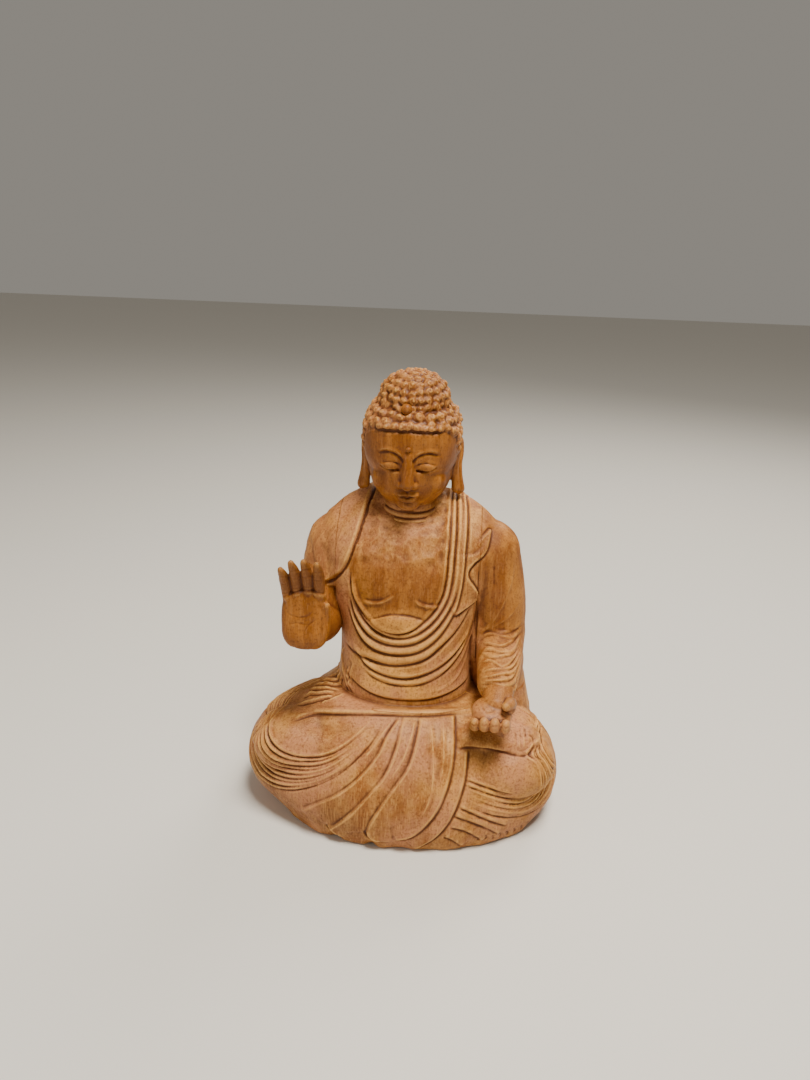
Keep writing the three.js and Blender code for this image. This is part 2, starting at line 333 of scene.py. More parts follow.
    def facets(self, pitch, depth, mask):
        """Shallow gouge scoops that meet in low crests."""
        where = np.nonzero(mask > 0.02)[0]
        area = len(where) * self.spacing**2
        seeds = dice.choice(where, max(4, int(area / pitch**2)), replace=False)
        tree = KDTree(len(seeds))
        for i, seed in enumerate(seeds):
            tree.insert(self.co[seed], i)
        tree.balance()
        away = np.array([tree.find(self.co[i])[2] for i in where])
        scoop = np.minimum(1, away / (0.75 * pitch)) ** 2 - 0.5
        self.height[where] += depth * scoop * mask[where]

    def carve(self):
        """Moves the points by the knife work."""
        a, b = self.edges.T
        for _ in range(2):
            around = np.bincount(a, self.height[b], len(self.co))
            around += np.bincount(b, self.height[a], len(self.co))
            self.height += 0.5 * (around / self.degree[:, 0] - self.height)
        self.co += self.no * self.height[:, None]
        self.write()

    def store(self):
        """Keeps on the mesh how far each point stands out from the skin close by and
        further off, and how much of it is cloth, for the finish."""
        self.mesh.update()
        normals = self.normals()
        carved = self.co.copy()
        kept = {"cloth": self.cloth, "tone_light_and_shade": self.tone_light_and_shade}
        for name, reach in (("crest", 0.55), ("hollow", 1.0)):
            self.co = carved.copy()
            self.smooth(max(2, round(4 * (reach / self.spacing) ** 2)))
            kept[name] = ((carved - self.co) * normals).sum(1)
        self.co = carved
        for name, values in kept.items():
            keep_values(self.mesh, name, values)


def place(skin_mesh, name):
    """The finished piece, scaled to metres, shaded smooth except at real corners."""
    skin_mesh.transform(Matrix.Scale(MM, 4))
    skin_mesh.shade_smooth()
    skin_mesh.set_sharp_from_angle(angle=math.radians(CORNER_ANGLE))
    piece = added(name, skin_mesh)
    skin_mesh.calc_loop_triangles()
    count = len(skin_mesh.loop_triangles)
    if count > MOST_TRIANGLES:
        thin = piece.modifiers.new("thin", "DECIMATE")
        thin.ratio = MOST_TRIANGLES / count
        piece.data = applied(piece)
        piece.modifiers.remove(thin)
    return piece


def zone(low, high):
    """A closed box given by two corners."""
    low, high = Vector(low), Vector(high)
    size = Matrix.Diagonal((*(high - low), 1))
    bm = bmesh.new()
    bmesh.ops.create_cube(bm, size=1, matrix=Matrix.Translation((low + high) / 2) @ size)
    mesh = bpy.data.meshes.new("zone")
    bm.to_mesh(mesh)
    bm.free()
    return added("zone", mesh)


def parted(skin, name, boxes, operation="INTERSECT"):
    """The part of a skin inside each box in turn, or outside it, closed where it is cut."""
    source = added(name, skin.mesh.copy())
    cutters = [zone(*box) for box in boxes]
    for cutter in cutters:
        cut = source.modifiers.new("part", "BOOLEAN")
        cut.operation = operation
        cut.solver = "MANIFOLD"
        cut.object = cutter
    mesh = applied(source)
    for holder in [source, *cutters]:
        bpy.data.objects.remove(holder)
    return mesh


# ---- The body -------------------------------------------------------------------------

clay = Clay()
TORSO = [
    (30, 0, 7, 29, 23.5),
    (38, 0, 6.5, 27.5, 24.5),
    (45, 0, 4, 25.6, 24.6),
    (52, 0, 3, 24.6, 23.3),
    (60, 0, 3, 24.2, 22.6),
    (69, 0, 3.5, 24.8, 21.8),
    (78, 0, 4.5, 27.6, 20.9),
    (88, 0, 5.5, 31, 20),
    (97, 0, 6.5, 33.4, 18),
    (104, 0, 7.5, 32.4, 15.2),
    (109, 0, 9, 28, 11.8),
    (113, 0, 11, 22, 8.8),
    (116.2, 0, 12.5, 14.5, 5.3),
]
HIPS = [
    (0, 0, 8, 48.5, 26.5),
    (7, 0, 8, 52.5, 28.6),
    (16, 0, 7, 52.5, 28.6),
    (25, 0, 7, 47.5, 27.2),
    (33, 0, 8, 36.5, 25.2),
    (40, 0, 9, 27.5, 22.8),
]
LEGS = [
    (0, 1.4, -9, 52.6, 33.4),
    (5, 1.3, -9, 56, 34.6),
    (11, 1, -9, 58, 34.9),
    (17, 0.8, -9, 58.6, 34.5),
    (24, 0.8, -9, 57, 32.8),
    (31, 1, -9, 53, 29.4),
    (37, 1.3, -9, 46.4, 25.2),
    (41, 1.5, -9, 38.4, 21),
    (44.3, 1.3, -9, 29.5, 16.6),
]
clay.stack(TORSO)
clay.stack(HIPS)
clay.stack(LEGS, squareness=1.02)
clay.ball((-33, -21, 28), (20, 14, 12.6), detail=40)  # right knee
clay.ball((38, -20, 25.5), (19, 16.4, 13), detail=40)  # left knee
clay.limb([(-37, -19.5, 38.8), (-24, -23.6, 41.6), (-8, -25, 43.5), (10, -24, 44),
           (25, -19.5, 44)], [1.2, 1.3, 1.3, 1.3, 1.2], detail=20)  # front edge of the lap
clay.limb([(-16, -16, 37.6), (-32, -13.4, 37.4)], [5, 4.4], detail=24)  # left foot
for k in range(5):
    toe = Vector((-40.2, -5.4, 38.2)).lerp(Vector((-33, -13.5, 41.4)), k / 4)
    clay.ball(toe, (2.1 - 0.14 * k, 1.7, 1.7), detail=14)
clay.ball((33.4, -24.6, 38), (12.6, 6.4, 3.4), (0.3, 0.1, 0.1), detail=40, square=4)  # sole
for k in range(5):
    toe = Vector((46.3, -28.2, 33.9)).lerp(Vector((46.8, -20.5, 39.2)), k / 4)
    clay.ball(toe, (3.2, 1.5 + 0.12 * k, 1.5 + 0.12 * k), (0, 0.3, 0.1), detail=14)

# Shoulders and sleeves
clay.limb([(-26.3, 8, 94.5), (-29, 5, 85), (-30.4, 2.5, 78)], [12.1, 10.8, 9.6], detail=32)
clay.limb([(28.2, 8, 94.4), (32.4, 6.2, 78), (34.6, 5, 64)], [12.3, 11.1, 9.9], detail=32)
clay.limb([(34.8, 4, 63), (34.8, -7, 58.4), (34, -18, 55)], [9.6, 8.3, 7.1], detail=32)
clay.ball((34.6, 5, 52), (10.2, 14.6, 14.6), detail=40)
clay.limb([(36, 8, 50), (38.6, 7, 42), (42, 5, 32)], [8.6, 8, 7], flat=(1, 1.7, 1), detail=28)
clay.ball((27.4, 5, 62), (4.6, 10, 19), detail=28)  # cloth between the arm and the side
clay.ball((-2.4, -14.4, 74.6), (9.5, 4.6, 4.4), detail=24)  # belly above the sash
body = clay.fuse("body", BODY_VOXEL, 18)
round_base = np.arctan2(body.co[:, 0], -body.co[:, 1])
waves = np.sin(5 * round_base + 1) + 0.8 * np.sin(11 * round_base) + 0.6 * np.sin(23 * round_base)
body.co[:, :2] *= (1 - 0.007 * (0.8 + waves) * smoothstep(9, 0, body.co[:, 2]))[:, None]
pinch = np.exp(-(((round_base + 1.1) / 0.5) ** 2)) * smoothstep(14, 2, body.co[:, 2])
body.co[:, :2] *= (1 - 0.055 * pinch)[:, None]
body.co[:, 2] = np.maximum(body.co[:, 2], 0.0)
body.settle()

# Chest and belly. The guides run from the figure's right side, under the belly, and up
# to its left shoulder. The folds lie between the guides.
U_GUIDES = [
    [(-20, 92), (-19.2, 84.5), (-16.6, 79), (-13, 75.2), (-8.6, 72.4), (-4, 71.2), (0, 71.3),
     (4.2, 73), (8.6, 76.6), (12.4, 82), (14.2, 89), (14.4, 99), (13.6, 109)],
    [(-19.8, 88), (-18.6, 81.5), (-15.6, 76), (-11.6, 72.2), (-6, 69.8), (0, 69.4), (5.2, 71),
     (10.5, 75), (14.6, 81), (16.4, 89), (16.6, 98), (15.4, 112)],
    [(-19.8, 82), (-18.8, 77.5), (-16.4, 73), (-12.8, 69.2), (-7, 67), (0, 66.7), (6.3, 68.4),
     (12.3, 73), (16.6, 80), (18.6, 88), (18.7, 98), (17.8, 112)],
    [(-20.5, 78), (-19.2, 74), (-17, 69.6), (-13.5, 65.6), (-7.6, 63.6), (0, 63.4), (7.2, 65),
     (13.8, 70.4), (18.1, 78), (20, 87), (20.2, 98), (19.8, 110)],
]
U_WIDTHS = [2.2, 2.6, 2.9, 3.0]
for guide, width in zip(U_GUIDES, U_WIDTHS):
    x = guide[-1][0] + 1
    over = [(x, 9, 117), (x + 1.2, 15, 115), (x + 2.4, 22, 109)]
    line = body.carried_on(body.drawn(guide[:-1], count=44), over, first=False)
    body.fold(line, (width, width, 0.9 * width, 0.7 * width), 0.85, 0.68, ends=0.05)
for guide in U_GUIDES[1:3]:  # a fainter line rides on each roll
    raised = [(x * 0.965 + 0.1, z + 1.1) for x, z in guide]
    body.groove(body.drawn(raised, count=40), 0.22, 0.3, ends=0.2)
DEEP_FOLD = [(-22, 62.6), (-18, 61), (-15, 60.6), (-11, 60.2), (-5.5, 59.5), (0, 59.7),
             (8.4, 61.7), (13.3, 65.7), (18.2, 70), (21.4, 74.6), (23.6, 80)]
body.fold(body.drawn(DEEP_FOLD), 3.4, 0.85, 0.5, ends=0.08)
SASH_EDGE = [(-20, 65.5), (-15, 59.6), (-12, 57.4), (-7.3, 55.8), (-1, 54.8), (5, 55.4),
             (12, 57.7), (17, 60.7), (21, 64.8), (23.6, 70), (25, 77)]
body.fold(body.drawn(SASH_EDGE), 2.6, 0.7, 0.62, ends=0.08)
body.fold(body.drawn([(-15, 56.6), (-8, 53.4), (0, 52.2), (8, 53), (15, 56), (20, 60.4),
                      (24, 67)]), 2.4, 0.5, 0.42, ends=0.15)
THIN_LINES = [
    [(3, 49.6), (10.6, 50.2), (14, 50.6), (17.6, 51.7), (21, 54.6), (23, 58.5), (24.2, 64)],
    [(16, 54.5), (20.5, 58.5), (23.5, 64.5), (25.2, 72)],
    [(20.8, 66), (23.2, 70), (24.6, 76)],
]
for line in THIN_LINES:
    body.ridge(body.drawn(line), 0.38, 0.42, ends=0.25)
HEM = [(-20, 52.4), (-18, 51), (-14, 49.3), (-9, 48), (-3, 47.3), (4, 47.2), (11, 47.5),
       (18, 48.4), (24.5, 49.6)]
body.edge(body.drawn(HEM), 0.75, 0.16, 2.6, ends=0.04, undercut=0.5)
body.groove(body.drawn([(8, 76.2), (5.9, 76.9), (2.4, 77.9), (-1.9, 78.3), (-6.4, 77.8),
                        (-10.6, 75.8), (-12.4, 74.4)]), 0.6, 0.42, ends=0.12)
body.ridge(body.drawn([(-15.4, 81), (-11.2, 80.9), (-7.7, 81.7), (-5, 83.4), (-3.4, 85)]),
           0.62, 0.4, ends=0.16)
body.ridge(body.drawn([(3.6, 83.4), (5.6, 81.8), (9.1, 81.1), (13, 81.2)]), 0.62, 0.4, ends=0.16)
body.groove(body.drawn([(-15, 82.2), (-11, 82.1), (-7.4, 83), (-4, 85.2)]), 0.3, 0.5, ends=0.2)
body.groove(body.drawn([(4.2, 84.6), (6, 83), (9.2, 82.2), (13, 82.3)]), 0.3, 0.5, ends=0.2)
for x in (-8.5, 7.5):
    body.swell((x, -13, 88), (8, 9, 6), 0.55)
body.swell((-0.5, -13, 90), (1.8, 9, 7), -0.3)
for x in (-8, 8):  # collar bones
    body.ridge(body.drawn([(x * 0.2, 106), (x, 107.4), (x * 1.6, 109.4)]), 0.4, 1.1, ends=0.3)

# The robe over the right shoulder: its free edge stands clear of the chest.
ROBE_EDGE = [(-31.5, 83.6), (-27.7, 85), (-24.3, 87.8), (-22, 91.4), (-20.2, 94.8),
             (-18.2, 101.4), (-16.7, 107.4), (-15.2, 113)]
over_shoulder = [tuple(p) for p in body.drawn(ROBE_EDGE, count=16)]
over_shoulder += [(-14, 12, 116), (-12.6, 18, 113), (-11.6, 24, 107)]
body.edge(body.wrapped(over_shoulder, 70), 1.2, 0.2, 9, ends=0.06, undercut=1)
for k in range(3):  # soft pulls from the shoulder to the hem
    top, low = (-20.5 - 3.4 * k, 109.5 - 2.2 * k), (-26 - 4.4 * k, 90 + 1.4 * k)
    middle = ((top[0] + low[0]) / 2 - 1.2, (top[1] + low[1]) / 2)
    body.ridge(body.drawn([top, middle, low]), 0.32, 0.6, ends=0.3)

# The robe's gathered edge on the left shoulder falls in two flaps.
FLAP_EDGE = [(17.5, 77), (19.2, 78), (21.3, 79.4), (24.3, 80.7), (25.7, 82.2), (24.7, 86),
             (22.4, 89.4), (21.4, 92), (22.2, 94.2), (24, 96.1), (26.6, 97.6), (28, 100.2),
             (28.6, 104), (29.2, 108)]
body.edge(body.drawn(FLAP_EDGE, count=60), 1.05, 0.16, 3.4, ends=0.03, undercut=0.65)
for x in (17.4, 19.6, 22.4):  # the neckline's long folds
    body.ridge(body.drawn([(x + 0.6, 86), (x + 0.2, 95), (x - 0.6, 104), (x - 1.4, 111)]),
               0.2, 0.36, ends=0.45)
body.groove(body.drawn([(25.6, 97), (25.7, 88), (25.6, 76), (25.7, 64), (26.2, 55)]),
            0.7, 0.55, ends=0.1)

# Left sleeve: long pulls on the upper arm and gathers on the forearm.
body.ridge(body.drawn([(27.2, 66.8), (30.7, 70.6), (33, 75), (35.4, 81), (37.3, 88),
                       (37.4, 95.5)]), 0.4, 0.45, ends=0.15)
body.ridge(body.drawn([(31, 69.6), (34.2, 72), (37.7, 74.9), (41.2, 79.4)]), 0.38, 0.45, ends=0.2)
body.groove(body.drawn([(31.2, 84.4), (30.9, 90), (30.6, 95)]), 0.4, 0.4, ends=0.25)
for k in range(13):
    z = 69 - 1.25 * k
    lift = dice.uniform(-0.6, 0.6, 5)
    line = [(27.2, z - 1.6 + lift[0]), (31, z + 0.4 + lift[1]), (35.6, z + 0.9 + lift[2]),
            (40, z + 0.6 + lift[3]), (43.8, z + 1.9 + 0.15 * k + lift[4])]
    press = min(1, 0.3 + 0.25 * k)
    body.fold(body.drawn(line), dice.uniform(1, 1.7), 0.45 * press, 0.42 * press, ends=0.22)

# Lap: loops round both knees, a fan of folds between them and a broad hanging band.
RIGHT_LOOPS = (
    [(-44.6, 38), (-46.3, 36.8), (-46.1, 34.8), (-44.5, 32.8), (-41.3, 31.1), (-36.8, 29.9),
     (-31.9, 29.4), (-27, 29.9), (-22.2, 31.7), (-17.6, 34.6), (-13.2, 38.2), (-9.4, 41.2),
     (-7.3, 43.4)],
    [(-49.4, 35.2), (-54.6, 27.4), (-56.6, 20.6), (-55, 15.8), (-50.3, 13.4), (-44.2, 13.5),
     (-37.3, 15.7), (-30.7, 18.9), (-23.8, 22.8), (-17.4, 27.4), (-11.3, 33.4), (-6.6, 38.7),
     (-4.3, 43.3)],
)
RIGHT_TAILS = ([(-24, 4, 47), (-31, -1, 44), (-38.6, -7, 41.4), (-42.8, -12, 39.6)],
               [(-31, 15, 38), (-43, 8, 36), (-50.6, 0, 32.6), (-53.4, -8, 32)])
for share, size in ((0, 2.1), (0.11, 1.5), (0.26, 2.1), (0.36, 1.4), (0.5, 2), (0.63, 2.1),
                    (0.73, 1.4), (0.87, 2.1), (0.98, 1.5)):
    line = body.drawn(between(*RIGHT_LOOPS, share), count=52)
    tail = between(*RIGHT_TAILS, share, count=8)
    body.fold(body.carried_on(line, tail), (0.7 * size, 0.8 * size, size, 0.85 * size, 0.55 * size),
              0.62 + 0.12 * size, 0.34 + 0.12 * size, ends=0.1)
FAN = [
    [(1.1, 43.8), (-1.8, 40.7), (-3.5, 38.2), (-4.9, 35), (-7.5, 31.4), (-10.8, 27.6),
     (-15.2, 23.2), (-21.1, 18.4), (-26.7, 14.6), (-33, 9.4)],
    [(2.6, 44), (1.7, 42), (1, 37.6), (-0.1, 34.4), (-1.5, 30.5), (-4.1, 26.3), (-7.4, 22.4),
     (-12.5, 15.8), (-16.1, 11.6), (-19.2, 7.8), (-21, 5.6), (-19, 3.4), (-15, 1.4)],
    [(8, 44), (7.9, 42.2), (7.4, 39.5), (6.4, 34.6), (4.4, 29.9), (1.2, 25.7), (-2, 20.9),
     (-5.3, 15), (-7.3, 10.5), (-7.8, 7.2), (-6.4, 4.9), (-2.7, 4.2), (1.6, 4.6)],
]
for line in FAN:
    body.edge(body.drawn(line, count=56), 0.75, 0.32, 5, ends=0.05, undercut=0.28)
    body.ridge(body.drawn([(x + 0.35, z) for x, z in line], count=56), 0.26, 0.26, ends=0.1)
for line in (
    [(5.9, 44), (5.9, 41.4), (5.1, 38.6), (3.3, 33.7), (1.2, 30.2), (-1.6, 26.4)],
    [(10.9, 44), (12.2, 40.7), (12.9, 36.7), (13.6, 32), (13.5, 25), (11.8, 18.6), (8.6, 13)],
    [(-1, 43.4), (-4.6, 39.6), (-7.6, 35.6), (-11.4, 31.4)],
    [(15.6, 44), (16.4, 39), (16.8, 33), (16.2, 27)],
):
    body.ridge(body.drawn(line), 0.5, 0.42, ends=0.2)
PANEL_EDGE = [(1.6, 4.9), (7.7, 7.4), (12.2, 12.3), (15.9, 18.1), (18.4, 25), (19.8, 31),
              (20.2, 36.6), (19.9, 40.7), (19.6, 44)]
body.edge(body.drawn(PANEL_EDGE, count=50), 1.1, 0.22, 3.2, ends=0.03, undercut=0.5)
BAND_EDGE = [(8.6, 0.8), (14.6, 5.8), (19.2, 12), (21.8, 17.9), (23.7, 24.2), (24.6, 29),
             (24.9, 36)]
body.edge(body.drawn(BAND_EDGE, count=50), 0.9, 0.2, 3.6, ends=0.03, undercut=0.6)
for hook in (  # the hem turns under itself where two folds meet it
    [(-22.4, 7), (-21.4, 5), (-19.4, 3.6), (-16.6, 3)],
    [(-8.4, 8.4), (-7.9, 6), (-6.2, 4.2), (-3, 3.6)],
):
    body.edge(body.drawn(hook), 1.1, 0.2, 1.6, ends=0.1, undercut=1.3)
for x in (-19.5, -6.5):
    body.swell((x, -42, 0.6), (1.8, 5, 2.4), -1.3)
LEFT_LOOPS = (
    [(24.8, 24.7), (30.3, 21.9), (36.4, 18.9), (41.3, 16.8), (46.4, 15.6), (50, 17.2),
     (51.6, 21.5), (51.4, 27), (50.1, 30.9), (47.9, 33.2), (44.8, 34.7)],
    [(23.3, 20.6), (28.8, 17.4), (34.2, 14.5), (39.8, 11.8), (46.2, 9.6), (52.6, 9.4),
     (56.8, 12.6), (57.8, 18.2), (56.6, 25), (53.8, 31), (50.4, 35)],
)
LEFT_TAILS = ([(49.4, -16, 35.4), (50.6, -9, 34.4), (49.4, 0, 33)],
              [(53, -12, 34), (52, -3, 33), (50, 6, 30), (46, 14, 27)])
for share, size in ((0, 1.8), (0.14, 1.3), (0.36, 2.1), (0.5, 1.4), (0.72, 2.1), (0.84, 1.4),
                    (1, 2)):
    line = body.drawn(between(*LEFT_LOOPS, share), count=48)
    tail = between(*LEFT_TAILS, share, count=8)
    body.fold(body.carried_on(line, tail, first=False), (0.7 * size, size, 0.8 * size, 0.5 * size),
              0.62 + 0.12 * size, 0.34 + 0.12 * size, ends=0.08)
for line in (
    [(24.6, 27.6), (28.8, 25.9), (33.7, 23.9), (38.5, 22.5), (42.7, 21.6)],
    [(24.6, 26), (30, 23.6), (36, 20.9), (42, 19)],
):
    body.fold(body.drawn(line), (1.6, 1.2), 0.55, 0.5, ends=0.15)
HEM_FOLDS = [
    [(23.1, 19), (27.6, 16.6), (33.1, 13.2), (41, 8)],
    [(21.5, 16), (26.6, 13.6), (33.4, 9.4), (38, 5)],
    [(20.4, 11.4), (25.1, 9.8), (28.9, 6.9), (32, 3)],
    [(18.6, 7.4), (22, 5.4), (25, 2)],
]
for line in HEM_FOLDS:
    body.edge(body.drawn(line), 0.8, 0.2, 2.2, ends=0.1, undercut=0.55)
for k in range(9):  # small nicks along the hem under the left knee
    x = 30 + 2.6 * k
    z = 6.4 - 0.2 * k + dice.uniform(-1, 1)
    body.groove(body.drawn([(x, z), (x + 0.9, z - 1.6), (x + 0.6, z - 3.4)]), 0.5, 0.5, ends=0.2)
SOLE_EDGE = [(21.4, 36.7), (28.1, 37.2), (35.2, 36.3), (42.3, 34.8), (46.2, 34.9), (47.5, 36.8),
             (46.6, 38.9)]
body.edge(body.drawn(SOLE_EDGE, count=46), 0.8, 0.2, 3, ends=0.08, undercut=0.45)
for k in range(4):
    x = 41.4 + 1.6 * k
    body.groove(body.drawn([(x, 40.6), (x + 0.5, 38.6), (x + 0.2, 36.8)]), 0.35, 0.35, ends=0.2)
LAP_RIM = [(-38.4, 39), (-34.2, 40), (-24.7, 41.8), (-15.3, 43.2), (-6.3, 44),
           (2.1, 44.3), (14, 44.4), (25, 44.3)]
body.edge(body.drawn(LAP_RIM, count=50), 0.8, 0.22, 3.4, ends=0.16, undercut=0.5)
body.swell((-24, -27.5, 38.6), (14, 7, 3), -1.3)

for line in (
    [(-21.4, 62), (-23, 57), (-22.6, 52), (-20.6, 47), (-18.6, 44.6)],
    [(-24.2, 58), (-26.6, 53.4), (-29, 49), (-30, 45)],
    [(-19.6, 55), (-20.6, 51), (-19.4, 47.6), (-17.4, 45)],
):
    body.fold(body.drawn(line), 1.7, 0.5, 0.55, ends=0.2)
for k in range(7):  # crumpled cloth over the right hip
    bends = dice.uniform(-1, 1, 4)
    line = [(-39 + 1.7 * k, -17 + 3.1 * k + bends[0], 42), (-34 + 1.6 * k, -18.5 + 3.1 * k + bends[1], 44),
            (-29.5 + 1.2 * k, -19 + 3.1 * k + bends[2], 46), (-25 + 0.9 * k, -20 + 3.2 * k + bends[3], 48)]
    body.fold(body.wrapped(line), 2.1, 0.6, 0.7, ends=0.2)

# The back: long folds fall from the left shoulder to the right hip.
for k in range(8):
    top, low = (25 - 5 * k, 109 - 1.2 * k * (k > 4)), (-14 - 2.6 * k, 47 + 5.2 * k)
    middle = ((top[0] + low[0]) / 2 - 3.4, (top[1] + low[1]) / 2 - 5)
    body.ridge(body.drawn([top, middle, low], side=1), 0.55, 1.0, ends=0.15)
    body.groove(body.drawn([(x - 1.7, z - 1.2) for x, z in (top, middle, low)], side=1),
                0.45, 0.7, ends=0.15)
for k in range(6):  # the robe spreads over the seat
    x = -30 + 12 * k
    line = [(x * 0.55, 44), (x * 0.9, 28), (x * 1.2, 12), (x * 1.3, 2)]
    body.ridge(body.drawn(line, side=1), 0.5, 1.1, ends=0.2)

# Where the chest is bare the wood is rounder and browner than the cut cloth.
bare = [(x, z) for x, z in spline(U_GUIDES[0], 40)] + [(13, 118), (-15, 118)]
bare += [(x, z) for x, z in spline(ROBE_EDGE[::-1], 24)]
px, pz = body.co[:, 0], body.co[:, 2]
inside = np.zeros(len(px), bool)
for (x0, z0), (x1, z1) in zip(bare, bare[1:] + bare[:1]):
    crosses = (z0 > pz) != (z1 > pz)
    inside ^= crosses & (px < (x1 - x0) * (pz - z0) / ((z1 - z0) or 1e-9) + x0)
body.cloth[inside & (body.co[:, 1] < 6)] = 0.85 * smoothstep(92, 101, pz[inside & (body.co[:, 1] < 6)])
body.cloth *= 1 - 0.85 * smoothstep(24.5, 28.5, px) * smoothstep(64, 68, pz)
body.cloth *= 1 - 0.35 * smoothstep(24.5, 28.5, px) * smoothstep(46, 50, pz)
body.cloth *= 1 - 0.65 * smoothstep(-23, -29, px) * smoothstep(78, 82, pz)
# Golden patches on the front of the knees, belly and lap, partly painted light; painted shade low on the
# right knee and hem, at the back, between the chest's swells and beside the left arm.
for spot, reach, amount in (
    ((38, -32, 20), (17, 15, 12), 1.3),
    ((44, -14, 22), (12, 16, 14), 0.5),
    ((-40, -30, 23), (16, 14, 9), 0.25),
    ((0, -20, 72), (15, 12, 8), 1.1),
    ((-2, -20, 60), (18, 12, 7), 0.6),
    ((36, -10, 58), (9, 14, 10), 0.2),
    ((4, -20, 52), (20, 12, 6), 1),
    ((20, -42, 26), (5, 12, 14), 0.4),
    ((-34, -36, 12), (22, 14, 9), -1.25),
    ((-48, -28, 17), (10, 14, 6), -0.7),
    ((-14, -42, 6), (20, 12, 8), -0.45),
    ((-38, 8, 40), (16, 14, 9), -0.4),
    ((0, -12, 84), (14, 9, 9), -0.35),
    ((30, 4, 70), (5, 18, 26), -0.5),
):
    q = ((body.co - np.array(spot)) / np.array(reach)) ** 2
    body.tone_light_and_shade += amount * np.exp(-q.sum(1))
front = body.co[:, 1] < 4
body.facets(4.6, 0.85, smoothstep(92, 97, pz) * inside * front)
body.facets(5, 0.12, 1.0 * (inside & front & (pz < 97)))
body.facets(4.2, 0.2, smoothstep(44, 40, pz) * front + 1.2 * (px < -20) * (pz > 80))
body.facets(4.6, 0.2, 1.0 * ~front)
body.carve()
body.co[:, 2] = np.maximum(body.co[:, 2], 0.0)
body.write()
body.store()

# Each block lies half a seam clear of the glue faces round it.
blocks = {
    "lap_block": ((-FAR, -FAR, BELOW), (FAR, LAP_JOINT_Y - HALF_SEAM, LAP_JOINT_Z - HALF_SEAM)),
    "right_arm_block": ((-FAR, -FAR, SLEEVE_END_Z), (-ARM_JOINT_X - HALF_SEAM, FAR, FAR)),
    "left_arm_block": ((ARM_JOINT_X + HALF_SEAM, -FAR, LAP_JOINT_Z + HALF_SEAM), (FAR, FAR, FAR)),
}
pieces = {}
for name, box in blocks.items():
    pieces[name] = place(parted(body, name, [box]), "carved_" + name)
around_trunk = [
    ((-FAR, -FAR, BELOW), (FAR, LAP_JOINT_Y + HALF_SEAM, LAP_JOINT_Z + HALF_SEAM)),
    ((-FAR, -FAR, LAP_JOINT_Z + HALF_SEAM), (-ARM_JOINT_X + HALF_SEAM, FAR, FAR)),
    ((ARM_JOINT_X - HALF_SEAM, -FAR, LAP_JOINT_Z - HALF_SEAM), (FAR, FAR, FAR)),
]
pieces["trunk"] = place(parted(body, "trunk", around_trunk, "DIFFERENCE"), "carved_trunk")

# ---- The head ---------------------------------------------------------------------------

clay = Clay()
bowed = Matrix.Translation(HEAD_CENTRE) @ Matrix.Rotation(HEAD_TILT, 4, "X")
upright = bowed.inverted()
clay.to_world = bowed
SKULL, SKULL_R = Vector((0, 1.5, 4.9)), Vector((16.5, 17, 14.7))
KNOT, KNOT_R = Vector((0.4, 2.5, 18)), Vector((11.7, 12, 9.5))
SQUARE = 2.7  # the skull is a little square under the hair
clay.ball(SKULL, SKULL_R, detail=48, square=SQUARE)
clay.ball(KNOT, KNOT_R, detail=40)
clay.ball((0, -1, -4.5), (14.7, 15.2, 15.4), detail=48)  # face
clay.ball((0, -4.2, -8.4), (12.6, 11.3, 9.4), detail=40)  # jaw
clay.ball((0, -10.8, -14.2), (4.6, 3.8, 3.2), detail=24)  # chin
clay.limb([(0, -14.9, 3.8), (0, -16.2, -1), (0, -17.5, -5.2)], [1.8, 1.9, 2.2], detail=24)
clay.ball((0, -14.4, -2.6), (3.4, 2.6, 4.4), detail=24)  # sides of the nose
for side in (-1, 1):
    clay.ball((side * 2.2, -16.1, -6), (1.5, 1.7, 1.3), detail=16)  # nostril
    clay.ball((side * 6.1, -12.9, 0.4), (4, 2.8, 2.7), detail=24)  # closed eye
    clay.ball((side * 1.8, -15.5, -9.6), (2.5, 1.3, 1), (0, side * 0.16, 0), detail=16)
    clay.ball((side * 8, -9.6, -6.2), (5, 4, 5), detail=24)  # cheek
clay.ball((0, -15.3, -11.6), (3.3, 1.35, 1.2), detail=20)  # lower lip
for side in (-1, 1):
    ear = [(16.0, 2.6, 5), (16.6, 4.6, 2.6), (16.9, 4.4, -1.4), (16.6, 2.8, -4.6),
           (16.7, 1.2, -9), (17.4, 0.4, -13.6)]
    rim = [(side * x, y, z) for x, y, z in ear]
    clay.limb(rim, [1.2, 1.5, 1.5, 1.45, 1.7, 2], flat=(1, 1.1, 1), detail=14)
    clay.limb([(side * 15.8, 1, 4.6), (side * 15.9, -0.8, 1), (side * 15.6, -0.6, -3.6),
               (side * 15.7, -0.4, -8.5), (side * 16.1, -0.8, -12.8)],
              [1.1, 1.2, 1.4, 1.5, 1.9], flat=(0.9, 1, 1), detail=14)
    clay.ball((side * 15.4, 2, 0.4), (1.2, 3, 4.4), detail=16)

# Snail curls in rows, low over the temples and down to the nape.
curls = []
HAIR_MARKS = [0, 48, 62, 74, 82, 90, 104, 125, 180]  # degrees round from the front
CURLS_START = [13.7, 12.9, 10, 1.6, 1.4, 5.6, 5, -8, -11]  # height of the lowest curls there
SKIN_ENDS = [12, 11.2, 8.4, 0, 0, 4, 3.4, -9.6, -12.6]  # height of the skin's upper edge there


def hair_starts(azimuth):
    """Height of the lowest curls at an angle from the front, in degrees."""
    return np.interp(abs(azimuth), HAIR_MARKS, CURLS_START)


